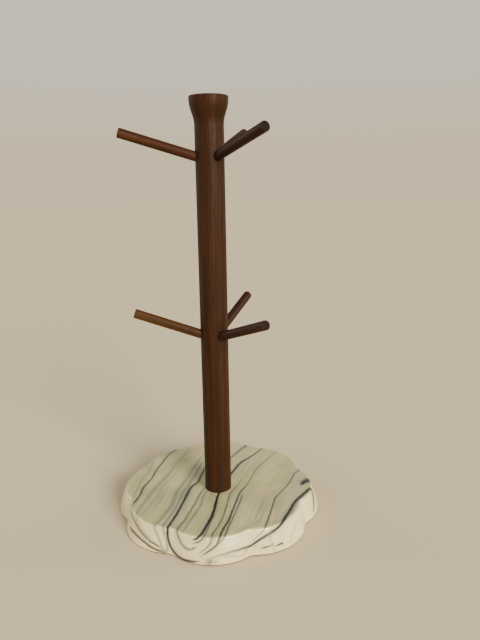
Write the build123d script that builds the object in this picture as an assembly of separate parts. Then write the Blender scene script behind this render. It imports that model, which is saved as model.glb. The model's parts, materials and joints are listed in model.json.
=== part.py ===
from build123d import *
import math
import os

# Mug tree: a turned wooden post with a flared head stands on a scalloped, marbled slab. Two rows of
# three plain dowel pegs are glued into slanting holes in the post. One wood screw, sunk into the
# underside of the slab, holds the post down, and a felt pad covers the screw and the whole underside.
#
# Millimetres, +Z up. The origin is the middle of the slab, on the surface that the pad rests on.
# -Y is the front, and the first peg of each row points along -X.

# ---- Slab ----
base_reach = 93.8  # from the middle to the tip of a lobe, along the bottom edge
base_thickness = 21.0
lobe_count = 8
lobe_radius = 46.0  # of the arc that forms each lobe
valley_radius = 11.0  # of the easing between two lobes
lobe_turn = -9.5  # degrees from +X to the tip of the first lobe
side_slant = 7.3  # how much further out the bottom edge stands than the top edge
side_bow = 0.7  # how far the middle of the side stands out from a straight slant
top_edge_round = 2.6
bottom_edge_round = 0.8

# ---- Pad ----
pad_thickness = 1.0
pad_inset = 1.2  # from the slab's bottom edge to the pad's edge

# ---- Post ----
post_diameter = 24.0
post_height = 343.0
post_x = -0.8  # the post stands a little forward of the slab's middle
post_y = -7.3
foot_ease = 0.5  # rounding of the post's bottom edge
head_diameter = 32.2
head_band = 4.6  # height of the nearly straight band at the top of the head
head_band_lean = 0.25  # how much wider, in radius, the band is at its top than at its foot
flare_height = 17.4  # height of the curve between the band and the post
head_edge_round = 1.3

# ---- Pegs ----
peg_diameter = 8.0
peg_tip_ease = 0.6
peg_core = 4.5  # from the post's axis to the bottom of a peg hole
glue_gap = 0.05  # radial room for glue around a peg
upper_row = 293.0  # height above the slab at which the pegs' axes meet the post's axis
lower_row = 143.5
# The holes are drilled and the pegs cut by hand, so no two are quite alike. For each peg: its row, its
# turn in degrees from +X, its rise in degrees above horizontal, and its reach from the post's axis to
# its tip, along the peg.
pegs = {
    "upper_peg_left": (upper_row, 180.0, 17.2, 76.0),
    "upper_peg_front_right": (upper_row, -60.0, 17.2, 75.5),
    "upper_peg_back_right": (upper_row, 60.0, 19.2, 77.0),
    "lower_peg_left": (lower_row, 180.0, 20.4, 72.0),
    "lower_peg_front_right": (lower_row, -60.0, 19.8, 76.0),
    "lower_peg_back_right": (lower_row, 58.5, 19.3, 76.0),
}

# ---- Screw and washer ----
screw_length = 50.0  # under the head
screw_diameter = 5.0
screw_core_diameter = 3.4
thread_length = 32.0
thread_pitch = 2.0
tip_length = 4.0
head_width = 9.6
head_height = 3.2
slot_width = 1.3
slot_span = 6.0
slot_depth = 1.8
washer_diameter = 20.0
washer_thickness = 1.6
washer_gap = 0.25  # radial room between the screw and the washer's hole
base_hole_gap = 0.75  # radial room between the screw and the slab's hole
recess_gap = 3.0  # radial room between the washer and the recess, for a socket
recess_depth = 8.5

# ---- Places that follow from the sizes above ----
base_bottom = pad_thickness
base_top = base_bottom + base_thickness
recess_top = base_bottom + recess_depth
screw_seat = recess_top - washer_thickness
post_axis = Location((post_x, post_y, 0))
post_foot = Location((post_x, post_y, base_top))


def polar(radius, degrees):
    angle = math.radians(degrees)
    return (radius * math.cos(angle), radius * math.sin(angle))


def upright(radius, length):
    """A cylinder that stands on the origin."""
    return Cylinder(radius, length, align=(Align.CENTER, Align.CENTER, Align.MIN))


def scalloped_face(reach):
    """A flat face of round lobes whose tips stand at the given reach, with eased valleys."""
    step = 360 / lobe_count
    half = math.radians(step / 2)
    ring = reach - lobe_radius
    valley = ring * math.cos(half) + math.sqrt(lobe_radius**2 - (ring * math.sin(half)) ** 2)
    lobes = []
    for index in range(lobe_count):
        tip = lobe_turn + index * step
        lobes.append(
            ThreePointArc(polar(valley, tip - step / 2), polar(reach, tip), polar(valley, tip + step / 2))
        )
    face = make_face(lobes)
    return fillet(face.vertices(), valley_radius)


def make_base():
    """The slab: scalloped sides that slant and bow outwards, a rounded top edge and the screw's hole."""
    top_reach = base_reach - side_slant
    middle_reach = (base_reach + top_reach) / 2 + side_bow
    bottom = Location((0, 0, base_bottom)) * scalloped_face(base_reach)
    middle = Location((0, 0, base_bottom + base_thickness / 2)) * scalloped_face(middle_reach)
    top = Location((0, 0, base_top)) * scalloped_face(top_reach)
    slab = loft([bottom, middle, top])
    slab = fillet(slab.faces().sort_by(Axis.Z)[-1].edges(), top_edge_round)
    slab = fillet(slab.faces().sort_by(Axis.Z)[0].edges(), bottom_edge_round)
    hole = upright(screw_diameter / 2 + base_hole_gap, base_top)
    recess = upright(washer_diameter / 2 + recess_gap, recess_top)
    return slab - post_axis * hole - post_axis * recess


def make_pad():
    """The felt under the slab, cut to the slab's outline and a little smaller."""
    return extrude(scalloped_face(base_reach - pad_inset), pad_thickness)


def turned(profile_lines):
    """A solid turned about Z, from lines of (radius, height) that start and end on the axis."""
    axis_line = Line(profile_lines[-1] @ 1, profile_lines[0] @ 0)
    return revolve(Plane.XZ * make_face([*profile_lines, axis_line]), Axis.Z)


def peg_root(row, turn, rise):
    """The middle of a peg's root in the post's own frame, with local Z along the peg."""
    x, y = polar(math.cos(math.radians(rise)), turn)
    direction = Plane(origin=(0, 0, row), z_dir=(x, y, math.sin(math.radians(rise))))
    return direction.location * Pos(0, 0, peg_core)


def make_peg(row, turn, rise, reach):
    """A plain dowel with an eased tip, its root seated on the bottom of its hole."""
    dowel = upright(peg_diameter / 2, reach - peg_core)
    dowel = fillet(dowel.edges().sort_by(Axis.Z)[-1], peg_tip_ease)
    return post_foot * peg_root(row, turn, rise) * dowel


def make_screw():
    """A wood screw, head down: a round head with a cross slot, a plain shank and a ridged thread."""
    shank = screw_diameter / 2
    core = screw_core_diameter / 2
    thread_start = screw_length - tip_length - thread_length
    ridge_count = int(thread_length / thread_pitch)
    head_corner = head_height / 3
    points = [
        (head_width / 2 - head_corner, -head_height),
        (head_width / 2, -head_height + head_corner),
        (head_width / 2, 0),
        (shank, 0),
        (shank, thread_start),
        (core, thread_start + thread_pitch / 4),
    ]
    for index in range(ridge_count):
        ridge = thread_start + (index + 0.5) * thread_pitch
        points += [(core, ridge), (shank, ridge + thread_pitch / 4), (core, ridge + thread_pitch / 2)]
    profile = Polyline((0, -head_height), *points, (0, screw_length))
    body = turned([profile])
    slot = Box(slot_span, slot_width, slot_depth, align=(Align.CENTER, Align.CENTER, Align.MIN))
    cross = Pos(0, 0, -head_height) * (slot + Rot(0, 0, 90) * slot)
    return post_axis * Pos(0, 0, screw_seat) * (body - cross)


def make_washer():
    """The steel washer that spreads the screw's pull over the roof of the recess."""
    ring = upright(washer_diameter / 2, washer_thickness)
    ring -= upright(screw_diameter / 2 + washer_gap, washer_thickness)
    return post_axis * Pos(0, 0, screw_seat) * ring


def make_post(screw):
    """The turned post: a straight shaft that swells through an S-curve into a flat-topped head."""
    radius = post_diameter / 2
    head = head_diameter / 2
    band_foot = post_height - head_band
    flare_foot = band_foot - flare_height
    band_radius = head - head_band_lean
    lines = [
        Line((0, 0), (radius - foot_ease, 0)),
        RadiusArc((radius - foot_ease, 0), (radius, foot_ease), -foot_ease),
        Line((radius, foot_ease), (radius, flare_foot)),
        Spline(
            (radius, flare_foot),
            (band_radius, band_foot),
            tangents=[(0, 1), (head_band_lean, head_band)],
        ),
        Line((band_radius, band_foot), (head, post_height)),
        Line((head, post_height), (0, post_height)),
    ]
    post = turned(lines)
    post = fillet(post.edges().sort_by(Axis.Z)[-1], head_edge_round)
    hole = upright(peg_diameter / 2 + glue_gap, post_diameter)
    for row, turn, rise, _ in pegs.values():
        post -= peg_root(row, turn, rise) * hole
    return post_foot * post - screw


os.makedirs("parts", exist_ok=True)
post_screw = make_screw()
nodes = {
    "marbled_base": make_base(),
    "base_pad": make_pad(),
    "post": make_post(post_screw),
    "post_screw": post_screw,
    "screw_washer": make_washer(),
}
for peg_name, peg_sizes in pegs.items():
    nodes[peg_name] = make_peg(*peg_sizes)

for name, shape in nodes.items():
    export_step(shape, f"parts/{name}.step")
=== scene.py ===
import json
import math
import random
from collections import namedtuple

import bpy
import numpy as np
from mathutils import Matrix, Vector, noise


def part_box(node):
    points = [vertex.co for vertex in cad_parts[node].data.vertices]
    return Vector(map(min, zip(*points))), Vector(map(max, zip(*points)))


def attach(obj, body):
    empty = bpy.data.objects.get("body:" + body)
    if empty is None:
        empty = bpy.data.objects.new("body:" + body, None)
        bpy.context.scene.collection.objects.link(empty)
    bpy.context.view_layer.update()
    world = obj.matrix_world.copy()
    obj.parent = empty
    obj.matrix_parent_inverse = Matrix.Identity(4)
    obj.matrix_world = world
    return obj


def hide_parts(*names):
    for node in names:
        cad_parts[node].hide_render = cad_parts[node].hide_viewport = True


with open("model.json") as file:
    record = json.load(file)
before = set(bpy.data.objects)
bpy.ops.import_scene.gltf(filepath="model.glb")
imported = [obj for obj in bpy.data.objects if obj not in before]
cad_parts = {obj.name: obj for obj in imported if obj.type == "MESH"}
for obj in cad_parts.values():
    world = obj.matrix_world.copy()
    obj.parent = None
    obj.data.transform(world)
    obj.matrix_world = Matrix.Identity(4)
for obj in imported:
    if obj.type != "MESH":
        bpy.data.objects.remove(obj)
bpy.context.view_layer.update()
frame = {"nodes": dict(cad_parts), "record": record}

# Looks of the mug tree: a satin brown post and pegs on a glossy marbled slab with a felt pad below.
# Metres, in the frame of the CAD part. Shapes drawn in the plan of the slab are in millimetres.

MM = 0.001

nodes = frame["nodes"]
mounts = frame["record"]["mounts"]
pegs = {m["name"].removesuffix("_hook"): m for m in mounts if m["name"].endswith("_hook")}
base_low, base_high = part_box("marbled_base")
post_low, post_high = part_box("post")
foot = Vector(((post_low.x + post_high.x) / 2, (post_low.y + post_high.y) / 2, post_low.z))


# ---------------------------------------------------------------------------------------------------
# Node helpers
# ---------------------------------------------------------------------------------------------------
class Graph:
    """Adds nodes to a tree. A value given to an input may be a socket or a plain value."""

    def __init__(self, tree):
        self.tree = tree

    def add(self, kind, values=None, **settings):
        node = self.tree.nodes.new(kind)
        for name, value in settings.items():
            setattr(node, name, value)
        for key, value in (values or {}).items():
            self.give(node.inputs[key], value)
        return node

    def give(self, socket, value):
        if isinstance(value, bpy.types.NodeSocket):
            self.tree.links.new(value, socket)
        else:
            socket.default_value = value

    def math(self, operation, a, b=0.0, clamp=False):
        node = self.add("ShaderNodeMath", {0: a, 1: b}, operation=operation, use_clamp=clamp)
        return node.outputs[0]

    def plus(self, a, b):
        return self.math("ADD", a, b)

    def minus(self, a, b):
        return self.math("SUBTRACT", a, b)

    def times(self, a, b):
        return self.math("MULTIPLY", a, b)

    def larger(self, a, b):
        return self.math("MAXIMUM", a, b)

    def remap(self, value, low, high, to_low=0.0, to_high=1.0):
        """A smooth step from to_low, where the value is low, to to_high, where it is high."""
        values = {0: value, 1: low, 2: high, 3: to_low, 4: to_high}
        return self.add("ShaderNodeMapRange", values, interpolation_type="SMOOTHSTEP").outputs[0]

    def mix(self, share, a, b):
        """Colour a where the share is 0, and colour b where it is 1."""
        return self.add("ShaderNodeMix", {0: share, 6: a, 7: b}, data_type="RGBA").outputs[2]

    def noise(self, vector, scale, detail=3.0, roughness=0.5, distortion=0.0):
        """Noise from 0 to 1. The scale is about how many waves it has in each unit of the vector."""
        values = {"Vector": vector, "Scale": scale, "Detail": detail}
        values |= {"Roughness": roughness, "Distortion": distortion}
        return self.add("ShaderNodeTexNoise", values).outputs["Fac"]

    def stretched_noise(self, vector, scales, detail, roughness=0.5):
        """Noise with its own scale along each axis."""
        stretched = self.add("ShaderNodeMapping", {"Vector": vector, "Scale": scales}).outputs[0]
        return self.noise(stretched, 1.0, detail, roughness)

    def place(self):
        """Where a point is, in metres."""
        return self.add("ShaderNodeTexCoord").outputs["Object"]

    def split(self, vector):
        return self.add("ShaderNodeSeparateXYZ", {0: vector}).outputs

    def join(self, x, y, z):
        return self.add("ShaderNodeCombineXYZ", {0: x, 1: y, 2: z}).outputs[0]

    def attribute(self, name, output="Fac"):
        return self.add("ShaderNodeAttribute", attribute_name=name).outputs[output]

    def ramp(self, value, stops, interpolation="LINEAR"):
        """A colour for each value, from stops of (place, colour)."""
        node = self.add("ShaderNodeValToRGB", {0: value})
        ramp = node.color_ramp
        ramp.interpolation = interpolation
        while len(ramp.elements) < len(stops):
            ramp.elements.new(0.5)
        for element, (place, colour) in zip(ramp.elements, stops):
            element.position = place
            element.color = colour
        return node.outputs[0]

    def curve(self, value, stops, interpolation="LINEAR"):
        """A level for each value, from stops of (place, level)."""
        stops = [(place, (level, level, level, 1.0)) for place, level in stops]
        return self.ramp(value, stops, interpolation)

    def bump(self, height, strength, distance):
        values = {"Strength": strength, "Distance": distance, "Height": height}
        return self.add("ShaderNodeBump", values).outputs[0]


def srgb(red, green, blue):
    """A colour given in display values from 0 to 255, as linear red, green, blue and alpha."""
    linear = []
    for value in (red, green, blue):
        share = value / 255
        linear.append(share / 12.92 if share <= 0.04045 else ((share + 0.055) / 1.055) ** 2.4)
    return (*linear, 1.0)


def shade(colour, factor):
    """The same colour with less light in it."""
    return (*(value * factor for value in colour[:3]), 1.0)


def new_material(name):
    material = bpy.data.materials.new(name)
    material.use_nodes = True
    material.node_tree.nodes.clear()
    graph = Graph(material.node_tree)
    shader = graph.add("ShaderNodeBsdfPrincipled")
    graph.add("ShaderNodeOutputMaterial", {0: shader.outputs[0]})
    return material, graph, shader


def dress(piece, material):
    piece.data.materials.clear()
    piece.data.materials.append(material)


def new_object(name, data):
    made = bpy.data.objects.new(name, data)
    bpy.context.scene.collection.objects.link(made)
    return made


# ---------------------------------------------------------------------------------------------------
# Slab: its outline, its side and its mesh
# ---------------------------------------------------------------------------------------------------
# The sizes are the CAD slab's, in millimetres.
LOBES = 8
LOBE_RADIUS = 46.0  # of the arc that forms each lobe
VALLEY_RADIUS = 11.0  # of the easing between two lobes
LOBE_TURN = -9.5  # degrees from +X to the tip of the first lobe
BOTTOM_REACH = 93.8  # from the middle to the tip of a lobe, along the bottom edge
TOP_INSET = 7.3  # how much less the top edge reaches
SIDE_BOW = 0.7  # how far the middle of the side stands out from a straight slant
TOP_ROUND = 2.6
BOTTOM_ROUND = 0.8
HOLE_RADIUS = 3.25
RECESS_RADIUS = 13.0
RECESS_DEPTH = 8.5

# The mesh is a closed stack of rings with this many corners, in these numbers of steps.
RING_CORNERS = 600
TOP_STEPS = 72
TOP_ROUND_STEPS = 9
SIDE_STEPS = 20
BOTTOM_ROUND_STEPS = 4
UNDERSIDE_STEPS = 10
RECESS_STEPS = 5
HOLE_STEPS = 6

# Shallow hollows in the side, left when the slab was cast and rubbed down by hand, in millimetres
HOLLOW_DEPTH = 0.45
HOLLOW_WIDTH = 17.0
HOLLOW_HEIGHT = 11.0
HOLLOW_START = 4.0  # below the top, where they reach their full depth

slab_bottom = base_low.z / MM
slab_top = base_high.z / MM
slab_height = slab_top - slab_bottom
foot_plan = np.array((foot.x, foot.y)) / MM
ring_angles = np.arange(RING_CORNERS) * 2 * math.pi / RING_CORNERS
ring_ways = np.stack([np.cos(ring_angles), np.sin(ring_angles)], 1)


def outline_radius(angles, reach):
    """Distance from the middle of the slab to its scalloped outline, in millimetres.

    Each lobe is an arc whose own middle stands on a ring about the slab's middle. Each easing is a
    smaller arc that touches two lobes from outside.
    """
    step = 2 * math.pi / LOBES
    ring = reach - LOBE_RADIUS
    from_tip = (angles - math.radians(LOBE_TURN) + step / 2) % step - step / 2
    lobe = ring * np.cos(from_tip) + np.sqrt(LOBE_RADIUS**2 - (ring * np.sin(from_tip)) ** 2)
    lobe_along, lobe_across = ring * math.cos(step / 2), ring * math.sin(step / 2)
    apart = LOBE_RADIUS + VALLEY_RADIUS
    easing = lobe_along + math.sqrt(apart**2 - lobe_across**2)
    share = LOBE_RADIUS / apart
    touch = math.atan2(lobe_across * (1 - share), lobe_along * (1 - share) + easing * share)
    from_valley = step / 2 - np.abs(from_tip)
    under = VALLEY_RADIUS**2 - (easing * np.sin(np.minimum(from_valley, touch))) ** 2
    valley = easing * np.cos(from_valley) - np.sqrt(np.maximum(under, 0))
    return np.where(from_valley < touch, valley, lobe)


def side_reach(share):
    """Reach of the slanting, bowed side at a share of the slab's height, from its bottom."""
    bow = 4 * SIDE_BOW * share * (1 - share)
    return BOTTOM_REACH - TOP_INSET * share + bow


def slab_profile():
    """(reach, height) along the outside of the slab, from the top's edge round to the bottom's edge."""
    lean = math.atan2(TOP_INSET + 4 * SIDE_BOW, slab_height)
    sweep = math.pi / 2 - lean
    round_reach = BOTTOM_REACH - TOP_INSET - TOP_ROUND * math.tan(sweep / 2)
    rows = []
    for step in range(TOP_ROUND_STEPS + 1):
        angle = math.pi / 2 - sweep * step / TOP_ROUND_STEPS
        height = slab_top - TOP_ROUND + TOP_ROUND * math.sin(angle)
        rows.append((round_reach + TOP_ROUND * math.cos(angle), height))

    # the side starts where the rounding ends, and comes to its own slant within a few steps
    ease_steps = 4
    start = (rows[-1][1] - slab_bottom) / slab_height
    end = BOTTOM_ROUND / slab_height
    offset = rows[-1][0] - side_reach(start)
    for step in range(1, SIDE_STEPS + 1):
        share = start + (end - start) * step / SIDE_STEPS
        remaining = offset * (1 - min(1, step / ease_steps))
        rows.append((side_reach(share) + remaining, slab_bottom + slab_height * share))

    for step in range(1, BOTTOM_ROUND_STEPS + 1):
        angle = math.pi / 2 * step / BOTTOM_ROUND_STEPS
        inward = BOTTOM_ROUND * (1 - math.cos(angle))
        height = slab_bottom + BOTTOM_ROUND * (1 - math.sin(angle))
        rows.append((side_reach(end / 2) - inward, height))
    return rows


def outline_ring(reach, height):
    """A scalloped ring: its points in the plan, and its height."""
    return ring_ways * outline_radius(ring_angles, reach)[:, None], height


def round_ring(radius, height):
    """A round ring about the post's axis."""
    return foot_plan + ring_ways * radius, height


def between(first, last, steps):
    """The rings that lead from one ring to another, without the two themselves."""
    made = []
    for step in range(1, steps):
        share = step / steps
        plan = first[0] * (1 - share) + last[0] * share
        made.append((plan, first[1] * (1 - share) + last[1] * share))
    return made


def hollow_out(points, first_ring, ring_count):
    """Pulls the points of these rings in, by the shallow hollows of the side."""
    for index in range(first_ring * RING_CORNERS, (first_ring + ring_count) * RING_CORNERS):
        x, y, z = points[index]
        place = Vector((x / HOLLOW_WIDTH, y / HOLLOW_WIDTH, z / HOLLOW_HEIGHT))
        wave = noise.noise(place) * 0.5 + 0.5
        pull = HOLLOW_DEPTH * wave * min(1, max(0, (slab_top - z) / HOLLOW_START))
        points[index, :2] -= points[index, :2] / math.hypot(x, y) * pull


def build_slab():
    """A closed mesh: top, side, underside, the recess for the washer and the hole for the screw."""
    side = [outline_ring(reach, height) for reach, height in slab_profile()]
    hole_top = round_ring(HOLE_RADIUS, slab_top)
    recess_mouth = round_ring(RECESS_RADIUS, slab_bottom)
    recess_roof = round_ring(RECESS_RADIUS, slab_bottom + RECESS_DEPTH)
    hole_foot = round_ring(HOLE_RADIUS, slab_bottom + RECESS_DEPTH)
    rings = [
        hole_top,
        *between(hole_top, side[0], TOP_STEPS),
        *side,
        *between(side[-1], recess_mouth, UNDERSIDE_STEPS),
        recess_mouth,
        *between(recess_mouth, recess_roof, RECESS_STEPS),
        recess_roof,
        *between(recess_roof, hole_foot, RECESS_STEPS),
        hole_foot,
        *between(hole_foot, hole_top, HOLE_STEPS),
    ]
    stacked = [np.column_stack([plan, np.full(RING_CORNERS, height)]) for plan, height in rings]
    points = np.concatenate(stacked)
    # the first ring under the side moves with it
    hollow_out(points, TOP_STEPS, len(side) + 1)

    corners = np.arange(len(points)).reshape(len(rings), RING_CORNERS)
    following = np.roll(corners, -1, 0)
    faces = np.stack([corners, following, np.roll(following, -1, 1), np.roll(corners, -1, 1)], 2)
    mesh = bpy.data.meshes.new("marbled_slab")
    mesh.from_pydata((points * MM).tolist(), [], faces.reshape(-1, 4).tolist())
    mesh.polygons.foreach_set("use_smooth", [True] * len(mesh.polygons))
    mesh.update()
    return new_object("marbled_slab", mesh), points


# ---------------------------------------------------------------------------------------------------
# Marbling: sheets of dark pigment folded into the pale stone
# ---------------------------------------------------------------------------------------------------
# The slab is unrolled into one plan: a point on the top is where it is, and a point on the side lies
# further out by its depth below the top. Each vein is a line in that plan, in millimetres: x, y and the
# pressure, which scales its width and its darkness. The long ones are drawn from back to front. With
# the line go its half width, its darkness from 0 to 1, and whether it runs on over the back edge.
SIDE_UNROLL = 0.9  # millimetres in the plan for each millimetre of depth
Vein = namedtuple("Vein", "half_width darkness runs_back line")
VEINS = {
    "far_left_side": Vein(
        1.1,
        0.95,
        False,
        [
            (-92, -44, 0.2),
            (-90, -51, 1),
            (-85, -60, 1),
            (-79, -70, 0.9),
            (-72, -79, 0.9),
            (-66, -84, 0.7),
            (-61, -87, 0.3),
        ],
    ),
    "left_faint": Vein(
        1.3,
        0.4,
        True,
        [(-65, 39, 1), (-66, 30, 1), (-72, 18, 1), (-76, -3, 0.8), (-79, -15, 0.7), (-83, -24, 0.2)],
    ),
    "left": Vein(
        0.95,
        0.95,
        True,
        [
            (-41, 72, 0.7),
            (-47, 63, 0.7),
            (-53, 48, 0.8),
            (-59, 32, 0.8),
            (-63, 17, 0.8),
            (-70, 1, 1),
            (-73, -13, 1),
            (-77, -24, 0.9),
            (-83, -33, 0.8),
            (-81, -44, 0.7),
            (-78, -58, 0.85),
            (-73, -70, 0.8),
            (-67, -78, 0.8),
            (-63, -81, 0.4),
        ],
    ),
    "left_wide": Vein(
        1.9,
        0.5,
        True,
        [
            (-26, 73, 0.5),
            (-32, 59, 0.5),
            (-41, 40, 0.5),
            (-47, 23, 0.6),
            (-56, 5, 1),
            (-63, -10, 1.1),
            (-67, -21, 1),
            (-74, -41, 0.8),
            (-77, -54, 0.6),
            (-71, -70, 0.5),
            (-64, -82, 0.3),
        ],
    ),
    "left_inner": Vein(
        1.7,
        0.38,
        False,
        [(-47, 12, 0.3), (-53, -1, 1), (-58, -19, 1), (-67, -38, 0.9), (-73, -50, 0.3)],
    ),
    "grey_left": Vein(
        1.25,
        0.6,
        True,
        [
            (-12, 58, 0.4),
            (-18, 42, 0.8),
            (-25, 24, 0.8),
            (-30, 10, 1),
            (-35, -1, 1),
            (-40, -13, 1),
            (-45, -34, 1),
            (-54, -55, 0.9),
            (-60, -63, 0.9),
            (-61, -75, 0.9),
            (-63, -84, 0.5),
        ],
    ),
    "grey_mid": Vein(
        1.5,
        0.6,
        False,
        [
            (-12, 45, 0.3),
            (-16, 35, 0.9),
            (-23, 14, 1.1),
            (-29, -3, 1),
            (-34, -14, 0.9),
            (-39.5, -35, 0.9),
            (-46, -52, 0.8),
            (-52, -66, 0.8),
            (-54, -77, 0.9),
            (-57, -84, 0.9),
            (-60, -88, 0.5),
        ],
    ),
    "bold_left": Vein(
        1.35,
        1.0,
        False,
        [
            (-8, 40, 0.15),
            (-13, 25, 0.6),
            (-19, 5, 0.8),
            (-26, -5, 0.95),
            (-30, -16, 1.1),
            (-35, -33, 1),
            (-42, -53, 1),
            (-48, -67, 0.9),
            (-51, -73, 0.85),
            (-53, -81, 0.85),
            (-52, -88, 0.85),
            (-46, -97, 0.8),
            (-35, -104, 0.7),
            (-26, -106, 0.3),
        ],
    ),
    "hook_outer": Vein(
        1.0,
        0.75,
        True,
        [
            (35, 73, 1.7),
            (19, 52, 1.1),
            (2, 22, 0.6),
            (-11, -4, 0.5),
            (-18, -17, 0.8),
            (-25, -37, 0.9),
            (-33, -57, 0.9),
            (-40, -71, 0.9),
            (-41, -81, 1),
            (-39, -88, 1),
            (-34, -93, 1),
            (-28, -92.5, 0.7),
        ],
    ),
    "hook_faint": Vein(
        0.95,
        0.6,
        False,
        [(-9, -10, 0.4), (-15, -20, 0.9), (-19, -37, 1), (-26, -53, 1), (-34, -71, 0.7), (-36, -77, 0.3)],
    ),
    "boldest": Vein(
        1.4,
        1.0,
        True,
        [
            (50, 63, 0.55),
            (40, 51, 0.6),
            (30, 41, 0.85),
            (23, 33, 1.0),
            (14, 16, 0.9),
            (4, -4, 0.5),
            (-1, -18, 0.75),
            (-4, -28, 0.9),
            (-8, -47, 1),
            (-12, -60, 1.2),
            (-18, -74, 1.1),
            (-21, -81, 0.9),
            (-25, -84.5, 0.8),
            (-28.5, -85, 0.4),
        ],
    ),
    "front_thin": Vein(
        0.85,
        0.75,
        True,
        [
            (61, 57, 0.3),
            (43, 39, 0.35),
            (28, 14, 0.4),
            (16, -10, 0.55),
            (9, -21, 0.8),
            (3, -44, 0.9),
            (-4, -66, 1),
            (-11, -80, 1),
            (-14, -90, 1),
            (-19, -95, 0.9),
            (-28, -99, 0.3),
        ],
    ),
    "boldest_twin": Vein(
        0.9,
        0.85,
        False,
        [
            (-3, -40, 0.2),
            (-10, -60, 0.5),
            (-15, -74, 0.6),
            (-19, -84, 0.7),
            (-23, -87.6, 0.9),
            (-29, -88, 0.5),
        ],
    ),
    "front_pair_twin": Vein(
        0.85,
        0.85,
        False,
        [
            (20.5, -22, 0.2),
            (18, -30, 0.7),
            (12, -48, 0.8),
            (7, -61, 0.8),
            (1, -76, 0.9),
            (-3, -87, 0.8),
            (-9, -94, 0.4),
        ],
    ),
    "front_pair": Vein(
        1.0,
        0.9,
        True,
        [
            (63, 52, 0.4),
            (54, 41, 0.5),
            (39, 21, 0.5),
            (28, -4, 0.55),
            (18, -21, 0.8),
            (12, -37, 0.9),
            (4, -61, 1.1),
            (-4, -79, 1),
            (-8, -91, 1),
            (-15, -97, 0.9),
            (-27, -102, 0.3),
        ],
    ),
    "right_thin": Vein(
        0.85,
        0.85,
        True,
        [
            (80, 13, 0.9),
            (74, 6, 0.9),
            (65, -11, 0.8),
            (56, -24, 0.8),
            (48, -35, 0.9),
            (41, -54, 0.9),
            (33, -75, 1),
            (30, -82, 0.6),
            (23, -90, 0.4),
        ],
    ),
    "right_wedge": Vein(
        2.9,
        1.0,
        False,
        [
            (74, -18, 0.1),
            (77, -14.5, 0.6),
            (81, -10.5, 1.1),
            (86, -8.5, 1.3),
            (91, -9.5, 1.0),
            (95, -12, 0.3),
        ],
    ),
    "right_bold": Vein(
        1.45,
        1.0,
        False,
        [
            (98, -40, 0.6),
            (94, -30, 1.1),
            (90, -24, 1.25),
            (84, -22, 1.35),
            (74, -32, 1.1),
            (65, -42, 1.0),
            (58, -54, 1.1),
            (51, -66, 1.1),
            (44, -78, 1.0),
            (32, -87, 0.9),
            (19, -95, 0.6),
            (0, -101, 0.45),
            (-18, -105, 0.3),
        ],
    ),
    "dash_right": Vein(
        0.75,
        0.95,
        False,
        [(46, -95, 0.3), (49.5, -93, 1.1), (52, -91.5, 1.3), (55, -92, 0.4)],
    ),
    "dash_front": Vein(
        0.65,
        0.95,
        False,
        [(31, -97.5, 0.3), (35, -96.3, 1.1), (39, -95, 0.9), (44, -93, 0.2)],
    ),
}
# Small smudges: x, y, length along x, length along y, darkness
SMUDGES = [
    (-18, -108, 7, 3.5, 0.9),
    (-62, -86, 2.5, 4, 0.85),
    (29, -95, 8, 0.6, 0.35),
    (44, -93.5, 8, 0.6, 0.3),
]
# Neighbours in the list of veins take turns in these groups, so that no two veins of a group are close.
VEIN_GROUPS = 6
# The faint streaks follow only the long veins. Each of these counts as a sheet of pigment, measured by
# how far across the flow it crosses the measuring line, which is at one y.
LONG_VEINS = (
    "left",
    "left_wide",
    "grey_left",
    "bold_left",
    "hook_outer",
    "boldest",
    "front_thin",
    "front_pair",
    "right_thin",
    "right_bold",
)
MEASURE_LINE = -35.0
ACROSS_FLOW = np.array((0.93, -0.35))

LINE_STEP = 1.5  # between the points that a vein's curve is cut into
BACK_RUN = 40.0  # how far a vein runs on over the back edge
BACK_PRESSURE = 0.7  # share of its pressure that is left there
FULL_PRESSURE = 0.6  # from which a vein is as dark as it gets
LEAST_PRESSURE = 0.05  # for the width of a vein that fades out
END_FADE = 1.5  # length over which a vein dies away past its end
SHOWN_WIDTHS = 5.5  # how far from a vein it can be seen, in half widths
SHOWN_MARGIN = 2.6  # and further out than that
BESIDE_REACH = 8.0  # how far a vein darkens the streaks beside it
BESIDE_FADE = 6.5  # how much of that is a fade
SHEET_EASE = 4.0  # square millimetres, so that no sheet outweighs the others without end
FAR_AWAY = 99.0
AT_ONCE = 4000  # points of the slab measured together


def unrolled(points):
    """Where points of the slab lie in the unrolled plan."""
    radius = np.maximum(np.hypot(points[:, 0], points[:, 1]), 1e-6)
    grow = 1 + SIDE_UNROLL * (slab_top - points[:, 2]) / radius
    return points[:, :2] * grow[:, None]


def through(line):
    """Closely spaced points on a smooth curve through a vein's own points."""
    line = np.array(line, float)
    padded = np.vstack([2 * line[0] - line[1], line, 2 * line[-1] - line[-2]])
    made = []
    for index in range(1, len(padded) - 2):
        before, start, end, after = padded[index - 1 : index + 3]
        steps = max(1, int(np.hypot(*(end - start)[:2]) / LINE_STEP))
        for step in range(steps):
            share = step / steps
            slope = (end - before) * share
            bend = (2 * before - 5 * start + 4 * end - after) * share**2
            twist = (3 * start - before - 3 * end + after) * share**3
            made.append((2 * start + slope + bend + twist) / 2)
    made.append(line[-1])
    return np.array(made)


def run_back(line):
    """The line, continued straight over the back edge."""
    first, second = np.array(line[0], float), np.array(line[1], float)
    way = (first - second)[:2]
    way = way / np.hypot(*way) * BACK_RUN
    return [(first[0] + way[0], first[1] + way[1], first[2] * BACK_PRESSURE), *line]


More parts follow.
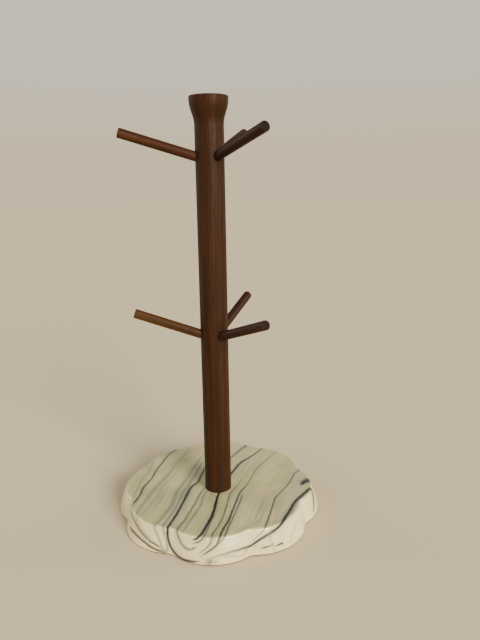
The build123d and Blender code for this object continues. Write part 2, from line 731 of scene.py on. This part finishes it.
def measure(plan, line):
    """For each point of the plan, about the nearest place of a line.

    How far away it is, how far to the left of the line's direction, the pressure there, and how far the
    point stands past the line's end.
    """
    starts, ways = line[:-1], np.diff(line, axis=0)
    lengths = np.hypot(ways[:, 0], ways[:, 1])
    offset = plan[:, None, :] - starts[None, :, :2]
    share = (offset * ways[:, :2]).sum(2) / lengths**2
    on_line = np.clip(share, 0, 1)
    away = np.hypot(*np.moveaxis(offset - on_line[..., None] * ways[:, :2], 2, 0))
    nearest = away.argmin(1)
    row = np.arange(len(plan))
    away, share, on_line = away[row, nearest], share[row, nearest], on_line[row, nearest]
    side = ways[nearest, 0] * offset[row, nearest, 1] - ways[nearest, 1] * offset[row, nearest, 0]
    side = side / lengths[nearest]
    pressure = starts[nearest, 2] + on_line * ways[nearest, 2]
    past_end = np.abs(share - on_line) * lengths[nearest]
    past_end = np.where((nearest == 0) | (nearest == len(starts) - 1), past_end, 0)
    return away, side, pressure, past_end


def own_sheet(line):
    """How far across the flow a long vein crosses the measuring line."""
    line = np.array(line, float)
    crossing = np.interp(-MEASURE_LINE, -line[:, 1], line[:, 0])
    return np.dot(ACROSS_FLOW, (crossing, MEASURE_LINE))


def vein_fields(plan):
    """For each point and group: the signed distance to the nearest vein, its half width and its darkness.

    With them come the sheet, a smooth measure across the veins for the faint streaks between them, and
    how close each point is to a dark vein, from 0 to 1.
    """
    distance = np.full((len(plan), VEIN_GROUPS), FAR_AWAY)
    width = np.ones((len(plan), VEIN_GROUPS))
    dark = np.zeros((len(plan), VEIN_GROUPS))
    sheet, weights, beside = np.zeros(len(plan)), np.zeros(len(plan)), np.zeros(len(plan))
    for index, (name, vein) in enumerate(VEINS.items()):
        group = index % VEIN_GROUPS
        line = through(run_back(vein.line) if vein.runs_back else vein.line)
        for first in range(0, len(plan), AT_ONCE):
            part = slice(first, first + AT_ONCE)
            away, side, pressure, past_end = measure(plan[part], line)
            shown = vein.darkness * np.clip(pressure / FULL_PRESSURE, 0, 1)
            shown = shown * np.clip(1 - past_end / END_FADE, 0, 1)
            near = np.clip((BESIDE_REACH - away) / BESIDE_FADE, 0, 1)
            beside[part] = np.maximum(beside[part], near * near * (3 - 2 * near) * shown)
            wide = vein.half_width * np.maximum(pressure, LEAST_PRESSURE)
            # nothing shows well away from a vein, where its left side meets its right side
            shown = shown * np.clip(SHOWN_WIDTHS * wide + SHOWN_MARGIN - away, 0, 1)
            closer = away < np.abs(distance[part, group])
            signed = np.where(side < 0, -away, away)
            distance[part, group] = np.where(closer, signed, distance[part, group])
            width[part, group] = np.where(closer, wide, width[part, group])
            dark[part, group] = np.where(closer, shown, dark[part, group])
            if name in LONG_VEINS:
                weight = (away**2 + SHEET_EASE) ** -1.5
                sheet[part] += weight * (own_sheet(vein.line) + side)
                weights[part] += weight
    return distance, width, dark, sheet / weights, beside


def smudge_field(plan):
    made = np.zeros(len(plan))
    for x, y, long_x, long_y, dark in SMUDGES:
        away = ((plan[:, 0] - x) / long_x) ** 2 + ((plan[:, 1] - y) / long_y) ** 2
        made = np.maximum(made, dark * np.exp(-away))
    return made


def give_field(mesh, name, values):
    """Stores one number, or a vector of three, for each point of the mesh."""
    kind, key = ("FLOAT", "value") if values.ndim == 1 else ("FLOAT_VECTOR", "vector")
    attribute = mesh.attributes.new(name, kind, "POINT")
    attribute.data.foreach_set(key, values.astype(np.float32).ravel())


def give_marbling(mesh, points):
    """Stores on the mesh what its material needs. The groups of veins are stored three to a vector."""
    plan = unrolled(points)
    distance, width, dark, sheet, beside = vein_fields(plan)
    give_field(mesh, "beside", beside)
    give_field(mesh, "sheet", sheet)
    for first in range(0, VEIN_GROUPS, 3):
        for name, values in (("distance", distance), ("width", width), ("dark", dark)):
            give_field(mesh, f"{name}{first}", values[:, first : first + 3])
    give_field(mesh, "plan", np.column_stack([plan, np.zeros(len(plan))]))
    give_field(mesh, "smudge", smudge_field(plan))


# ---------------------------------------------------------------------------------------------------
# Marble
# ---------------------------------------------------------------------------------------------------
STONE_TONES = (srgb(178, 173, 118), srgb(203, 195, 145))  # between and inside the clouds
STONE_BLUSH = srgb(206, 184, 160)
STONE_SPECKS = srgb(150, 150, 132)
STONE_SIDE_TONE_AND_LIGHT = srgb(246, 230, 180)  # the sides are paler than the top: partly their own tone, partly painted light for the sides being lit more strongly than the top
STREAK_TONE = srgb(100, 114, 110)
VEIN_TONES = (srgb(90, 106, 112), srgb(22, 33, 42))  # where faint and where dark
SMUDGE_TONE = srgb(84, 92, 92)

# For each kind of streak: how many lie in a millimetre across the veins, and the slice of the noise that
# it is taken from, so that no two kinds follow the same pattern
STREAKS = (0.42, 0.0)
BUNDLES = (0.05, 3.7)
HAIRLINES = (1.5, 5.5)
CLOUDS = (0.07, 8.1)


def vein_group():
    """A node group for one vein: how dark it is, from the distance, the half width and the darkness."""
    tree = bpy.data.node_groups.new("one vein", "ShaderNodeTree")
    for name in ("Away", "Half width", "Darkness", "So far"):
        tree.interface.new_socket(name, in_out="INPUT", socket_type="NodeSocketFloat")
    tree.interface.new_socket("Darkness", in_out="OUTPUT", socket_type="NodeSocketFloat")
    g = Graph(tree)
    away, half_width, darkness, so_far = list(g.add("NodeGroupInput").outputs)[:4]
    # the pigment is crisp on one side and bleeds a little on the other
    bleed = g.remap(away, -0.3, 0.6, 3.6, 5.2)
    relative = g.math("DIVIDE", g.math("ABSOLUTE", away), g.times(half_width, bleed), clamp=True)
    shape = g.curve(relative, [(0, 1), (0.16, 0.95), (0.3, 0.3), (0.5, 0.12), (1, 0)], "B_SPLINE")
    g.add("NodeGroupOutput", {0: g.larger(g.times(shape, darkness), so_far)})
    return tree


def vein_darkness(g, waver):
    """The darkest of all groups of veins."""
    group = vein_group()
    so_far = 0.0
    for first in range(0, VEIN_GROUPS, 3):
        names = [f"{field}{first}" for field in ("distance", "width", "dark")]
        for away, width, dark in zip(*(g.split(g.attribute(name, "Vector")) for name in names)):
            vein = g.add("ShaderNodeGroup", node_tree=group)
            for socket, value in zip(vein.inputs, (g.plus(away, waver), width, dark, so_far)):
                g.give(socket, value)
            so_far = vein.outputs[0]
    return so_far


def drawn_out(g, kind, across, along, detail, roughness=0.5):
    """Noise drawn out along the veins, for one kind of streak."""
    per_millimetre, layer = kind
    place = g.join(g.times(across, per_millimetre), along, layer)
    return g.noise(place, scale=1.0, detail=detail, roughness=roughness)


def faint_streaks(g, sheet, waver, along, upward):
    """Grey streaks that run with the veins, gathered in bundles and beside the darker veins."""
    wavered = g.plus(sheet, waver)
    streaks = drawn_out(g, STREAKS, wavered, along, detail=5.0, roughness=0.62)
    bundles = drawn_out(g, BUNDLES, sheet, along, detail=2.0)
    gather = g.larger(g.remap(bundles, 0.42, 0.6), g.times(g.attribute("beside"), 0.75))
    faint = g.times(g.remap(streaks, 0.47, 0.7), gather)
    hairlines = drawn_out(g, HAIRLINES, wavered, along, detail=2.0)
    hairlines = g.times(g.remap(hairlines, 0.6, 0.72), g.times(gather, 0.55))
    # fewer on the sides, where they would lie like rings
    hairlines = g.times(hairlines, g.remap(upward, 0.5, 0.97, 0.15, 1.0))
    return g.larger(faint, hairlines)


def marble_material():
    material, g, shader = new_material("marble")
    place = g.place()
    upward = g.split(g.add("ShaderNodeNewGeometry").outputs["Normal"])[2]
    plan = g.split(g.attribute("plan", "Vector"))
    along = g.plus(g.times(plan[0], 0.005), g.times(plan[1], 0.013))
    sheet = g.attribute("sheet")

    # the veins waver a little, in long waves and short ones
    long_waver = g.minus(g.noise(place, scale=130.0, detail=2.0), 0.5)
    short_waver = g.minus(g.noise(place, scale=620.0, detail=3.0), 0.5)
    waver = g.plus(g.times(long_waver, 1.3), g.times(short_waver, 0.5))
    dark = vein_darkness(g, waver)
    faint = faint_streaks(g, sheet, waver, along, upward)

    clouds = drawn_out(g, CLOUDS, sheet, g.times(along, 2.0), detail=4.0)
    colour = g.mix(g.remap(clouds, 0.3, 0.7), *STONE_TONES)
    blush = g.remap(g.noise(place, scale=21.0), 0.5, 0.68)
    colour = g.mix(g.times(blush, 0.3), colour, STONE_BLUSH)
    specks = g.remap(g.noise(place, scale=2400.0, detail=2.0), 0.62, 0.8)
    colour = g.mix(g.times(specks, 0.12), colour, STONE_SPECKS)
    # the sides are painted paler than the top, partly as painted light: the sides face the light more
    # than the top does
    colour = g.mix(g.remap(upward, 0.97, 0.55, 0.0, 0.75), colour, STONE_SIDE_TONE_AND_LIGHT)
    colour = g.mix(g.times(faint, 0.55), colour, STREAK_TONE)
    colour = g.mix(dark, colour, g.mix(g.remap(dark, 0.25, 0.9), *VEIN_TONES))
    blotches = g.remap(g.noise(place, scale=260.0, detail=4.0), 0.3, 0.62, 0.35, 1.0)
    colour = g.mix(g.times(g.attribute("smudge"), blotches), colour, SMUDGE_TONE)
    g.give(shader.inputs["Base Color"], colour)

    # polish: a little duller along the veins, with fine scratches and dimples
    scratches = g.stretched_noise(place, (900, 120, 400), detail=2.0)
    rough = g.remap(g.noise(place, scale=55.0, detail=5.0), 0.35, 0.75, 0.14, 0.24)
    rough = g.plus(rough, g.times(dark, 0.08))
    rough = g.plus(rough, g.times(g.remap(scratches, 0.62, 0.75), 0.07))
    g.give(shader.inputs["Roughness"], rough)
    height = g.minus(g.noise(place, scale=420.0), g.times(dark, 0.35))
    g.give(shader.inputs["Normal"], g.bump(height, strength=0.06, distance=0.0006))
    shader.inputs["IOR"].default_value = 1.5
    shader.inputs["Coat Weight"].default_value = 0.12
    shader.inputs["Coat Roughness"].default_value = 0.08
    shader.inputs["Subsurface Weight"].default_value = 0.06
    shader.inputs["Subsurface Radius"].default_value = (0.004, 0.003, 0.0025)
    return material


slab, slab_points = build_slab()
give_marbling(slab.data, slab_points)
dress(slab, marble_material())
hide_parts("marbled_base")
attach(slab, "root")


# ---------------------------------------------------------------------------------------------------
# Wood
# ---------------------------------------------------------------------------------------------------
# Tones are dark, middle and light.
POST_TONES = (srgb(27, 13, 4), srgb(44, 22, 7), srgb(65, 36, 13))
# The left pegs are lighter and the right pegs darker: painted light and shade, for the light falls on the
# left pegs while the right pegs face away from it
PEG_TONES_WITH_PAINTED_LIGHT = {
    "upper_peg_left": (srgb(34, 15, 7), srgb(56, 28, 12), srgb(82, 43, 19)),
    "lower_peg_left": (srgb(36, 19, 7), srgb(60, 36, 13), srgb(86, 55, 22)),
    "upper_peg_front_right": (srgb(25, 11, 6), srgb(39, 18, 10), srgb(56, 28, 16)),
    "upper_peg_back_right": (srgb(26, 16, 10), srgb(43, 27, 17), srgb(63, 41, 26)),
    "lower_peg_front_right": (srgb(28, 13, 7), srgb(46, 23, 13), srgb(67, 36, 21)),
    "lower_peg_back_right": (srgb(24, 12, 8), srgb(40, 20, 13), srgb(59, 32, 20)),
}
POST_SEED = 7
FIRST_PEG_SEED = 40


def wood_frame(g, place, origin, axis):
    """The wood's own frame, in millimetres: it starts at the origin, and its Z is along the grain."""
    turn = Vector(axis).to_track_quat("Z", "Y").to_euler()
    values = {"Vector": place, "Location": origin, "Rotation": turn, "Scale": (MM, MM, MM)}
    return g.add("ShaderNodeMapping", values, vector_type="TEXTURE").outputs[0]


def growth_rings(g, wood, pith):
    """Rings about a pith outside the piece, with a slow drift along the grain."""
    drift = g.stretched_noise(wood, (0.03, 0.03, 0.008), detail=2.0)
    parts = g.split(wood)
    off_x = g.minus(parts[0], pith[0])
    off_y = g.minus(parts[1], pith[1])
    radius = g.math("SQRT", g.plus(g.math("POWER", off_x, 2.0), g.math("POWER", off_y, 2.0)))
    drift_width, rings_per_mm = 9.0, 0.36
    phase = g.math("FRACT", g.times(g.plus(radius, g.times(drift, drift_width)), rings_per_mm))
    return g.curve(phase, [(0, 0), (0.55, 0.25), (0.86, 1), (1, 0.05)])


def wood_material(name, origin, axis, length, tones, seed, sockets=()):
    """Brown hardwood. What is seen of the piece starts at the origin and is this many millimetres long.

    sockets: the middle and the radius, in metres, of the mouth of each hole that a peg stands in. Painted
    shade darkens the wood around each.
    """
    material, g, shader = new_material(name)
    place = g.place()
    local = wood_frame(g, place, origin, axis)
    draws = random.Random(seed)
    shift = (draws.uniform(-90, 90), draws.uniform(-90, 90), draws.uniform(-900, 900))
    pith = (draws.uniform(30, 50) + shift[0], draws.uniform(-16, 16) + shift[1])
    wood = g.add("ShaderNodeVectorMath", {0: local, 1: shift}, operation="ADD").outputs[0]

    rings = growth_rings(g, wood, pith)
    fibres = g.stretched_noise(wood, (1.7, 1.7, 0.045), detail=4.0, roughness=0.62)
    bands = g.stretched_noise(wood, (0.26, 0.26, 0.009), detail=3.0)
    pores = g.remap(g.stretched_noise(wood, (4.2, 4.2, 0.16), detail=2.0), 0.6, 0.72)
    tone = g.plus(g.times(fibres, 0.5), g.times(bands, 0.5))
    tone = g.minus(tone, g.times(rings, 0.1))
    dark, middle, light = tones
    colour = g.ramp(tone, [(0.28, dark), (0.46, middle), (0.68, light)])
    colour = g.mix(g.times(pores, 0.4), colour, shade(dark, 0.35))

    # the end grain drinks more finish, and the rim of the outer end is rubbed a little lighter
    normal = g.add("ShaderNodeNewGeometry").outputs["Normal"]
    along = g.add("ShaderNodeVectorMath", {0: normal, 1: axis}, operation="DOT_PRODUCT").outputs["Value"]
    facing = g.math("ABSOLUTE", along)
    end_grain = g.remap(facing, 0.9, 0.99)
    end_dots = g.noise(wood, scale=1.9, roughness=0.6)
    end_colour = g.mix(end_dots, shade(dark, 0.3), shade(middle, 0.45))
    colour = g.mix(g.times(end_grain, 0.8), colour, end_colour)
    at_end = g.remap(g.split(local)[2], length - 1.1, length - 0.3)
    rim = g.times(at_end, g.remap(facing, 0.2, 0.6))
    rim = g.times(rim, g.remap(facing, 0.97, 0.85))
    wear = g.times(rim, g.remap(g.noise(wood, scale=0.5), 0.35, 0.6, 0.1, 0.4))
    colour = g.mix(wear, colour, light)

    # painted shade: dark rings on the post around the pegs' roots, where shade falls into the joints
    for centre, radius in sockets:
        away = g.add("ShaderNodeVectorMath", {0: place, 1: centre}, operation="DISTANCE").outputs["Value"]
        ring = g.remap(away, radius * 0.9, radius * 1.35, 0.75, 0.0)
        colour = g.mix(ring, colour, shade(dark, 0.2))
    g.give(shader.inputs["Base Color"], colour)

    gloss = g.stretched_noise(wood, (0.4, 0.4, 0.04), detail=4.0)
    rough = g.remap(gloss, 0.3, 0.7, 0.46, 0.6)
    rough = g.plus(rough, g.times(pores, 0.2))
    rough = g.plus(rough, g.times(end_grain, 0.2))
    g.give(shader.inputs["Roughness"], rough)
    height = g.minus(g.times(fibres, 0.5), g.times(pores, 0.6))
    g.give(shader.inputs["Normal"], g.bump(height, strength=0.25, distance=0.0002))
    shader.inputs["Specular IOR Level"].default_value = 0.15
    return material


peg_sockets = []
for index, (name, mount) in enumerate(sorted(pegs.items())):
    axis = Vector(mount["axis"])
    clear_length = mount["dims"]["length_mm"]
    start = Vector(mount["pos_m"]) - axis * (clear_length * MM / 2)
    peg_sockets.append((start, mount["dims"]["r_mm"] * MM))
    seed = FIRST_PEG_SEED + index
    # each peg gets its own tones, which hold painted light and shade
    peg_wood = wood_material(name + " wood", start, axis, clear_length, PEG_TONES_WITH_PAINTED_LIGHT[name], seed)
    dress(nodes[name], peg_wood)

up = Vector((0, 0, 1))
post_length = (post_high.z - post_low.z) / MM
post_wood = wood_material("post wood", foot, up, post_length, POST_TONES, POST_SEED, peg_sockets)
dress(nodes["post"], post_wood)


# ---------------------------------------------------------------------------------------------------
# Felt, screw and washer
# ---------------------------------------------------------------------------------------------------
FELT_TONES = (srgb(60, 42, 26), srgb(112, 82, 50), srgb(152, 118, 76))
ZINC_TONES = (srgb(150, 151, 156), srgb(196, 197, 202))
ZINC_LINES = srgb(120, 116, 108)


def felt_material():
    material, g, shader = new_material("felt")
    place = g.place()
    matted = g.noise(place, scale=900.0, detail=6.0, roughness=0.7, distortion=1.5)
    combed = g.add("ShaderNodeMapping", {"Vector": place, "Scale": (2600, 900, 1800)}).outputs[0]
    hairs = g.add("ShaderNodeTexVoronoi", {"Vector": combed, "Scale": 1.0}).outputs["Distance"]
    tone = g.plus(g.times(matted, 0.7), g.times(hairs, 0.3))
    g.give(shader.inputs["Base Color"], g.ramp(tone, list(zip((0.25, 0.5, 0.75), FELT_TONES))))
    g.give(shader.inputs["Roughness"], g.remap(matted, 0.2, 0.8, 0.88, 1.0))
    g.give(shader.inputs["Normal"], g.bump(tone, strength=0.8, distance=0.0004))
    shader.inputs["Sheen Weight"].default_value = 0.3
    return material


def steel_material(name, line_scales):
    """Zinc-plated steel, with fine lines left by the tool."""
    material, g, shader = new_material(name)
    place = g.place()
    spangle = g.noise(place, scale=700.0, detail=4.0)
    lines = g.stretched_noise(place, line_scales, detail=3.0)
    colour = g.ramp(spangle, list(zip((0.3, 0.6), ZINC_TONES)))
    g.give(shader.inputs["Base Color"], g.mix(g.times(lines, 0.25), colour, ZINC_LINES))
    g.give(shader.inputs["Roughness"], g.remap(lines, 0.3, 0.7, 0.25, 0.45))
    g.give(shader.inputs["Normal"], g.bump(lines, strength=0.15, distance=0.0001))
    shader.inputs["Metallic"].default_value = 1.0
    return material


dress(nodes["base_pad"], felt_material())
dress(nodes["post_screw"], steel_material("screw steel", (900, 900, 6000)))
dress(nodes["screw_washer"], steel_material("washer steel", (5000, 700, 700)))


# ---------------------------------------------------------------------------------------------------
# Studio: floor, light and camera
# ---------------------------------------------------------------------------------------------------
FLOOR_COLOUR = srgb(218, 204, 172)
FLOOR_RADIUS = 6.0
FLOOR_CORNERS = 96
FLOOR_DROP = 0.0002  # below the pad, so that the two don't coincide

# The world, by height above the horizon: it starts as light as the floor that it meets, and dims above.
HORIZON = srgb(239, 219, 180)
BACKDROP = srgb(240, 230, 211)
ZENITH = srgb(128, 128, 124)

# Each sun's name, the way to it, its power, how many degrees wide it is, and its colour
SUNS = [
    ("window", (0.5, -1.0, 0.42), 5.6, 26, (1.0, 0.93, 0.8)),
    ("right side", (1.1, 0.25, 0.5), 0.9, 30, (1.0, 0.88, 0.7)),
    ("left rim", (-1.1, 0.6, 0.45), 0.8, 30, (0.98, 0.98, 1.0)),
    ("left fill", (-1.1, -0.6, 0.7), 0.5, 40, (0.97, 0.96, 1.0)),
]

# The camera stands in front, a little to the left and above. Its angles are in degrees.
CAMERA_PLACE = (-0.03465, -0.50316, 0.3045)
CAMERA_HEADING = -6.5
CAMERA_DIP = 13.92
CAMERA_ROLL = -0.853
CAMERA_LENS = 33.19
CAMERA_SENSOR = 36
CAMERA_CLIP = 0.01


def make_floor():
    mesh = bpy.data.meshes.new("floor")
    angles = [2 * math.pi * index / FLOOR_CORNERS for index in range(FLOOR_CORNERS)]
    ring = [(FLOOR_RADIUS * math.cos(angle), FLOOR_RADIUS * math.sin(angle), 0) for angle in angles]
    mesh.from_pydata(ring, [], [tuple(range(FLOOR_CORNERS))])
    floor = new_object("floor", mesh)
    floor.location.z = -FLOOR_DROP
    material, _, shader = new_material("floor")
    shader.inputs["Base Color"].default_value = FLOOR_COLOUR
    shader.inputs["Roughness"].default_value = 0.9
    shader.inputs["Specular IOR Level"].default_value = 0.0
    dress(floor, material)


def make_world():
    world = bpy.data.worlds.new("studio")
    world.use_nodes = True
    g = Graph(world.node_tree)
    background = world.node_tree.nodes["Background"]
    height = g.split(g.add("ShaderNodeTexCoord").outputs["Generated"])[2]
    wall = g.mix(g.remap(height, 0.0, 0.2), HORIZON, BACKDROP)
    g.give(background.inputs["Color"], g.mix(g.remap(height, 0.26, 0.7), wall, ZENITH))
    background.inputs["Strength"].default_value = 1.0
    bpy.context.scene.world = world


def add_sun(name, toward, power, width, colour):
    light = bpy.data.lights.new(name, "SUN")
    light.energy = power
    light.angle = math.radians(width)
    light.color = colour
    new_object(name, light).rotation_euler = (-Vector(toward)).to_track_quat("-Z", "Y").to_euler()


def make_camera():
    camera = bpy.data.cameras.new("camera")
    camera.lens = CAMERA_LENS
    camera.sensor_width = CAMERA_SENSOR
    camera.clip_start = CAMERA_CLIP
    holder = new_object("camera", camera)
    heading = Matrix.Rotation(math.radians(CAMERA_HEADING), 4, "Z")
    tilt = Matrix.Rotation(math.radians(90 - CAMERA_DIP), 4, "X")
    roll = Matrix.Rotation(math.radians(CAMERA_ROLL), 4, "Z")
    holder.matrix_world = Matrix.Translation(CAMERA_PLACE) @ (heading @ tilt @ roll)
    bpy.context.scene.camera = holder


make_floor()
make_world()
make_camera()
for sun in SUNS:
    add_sun(*sun)
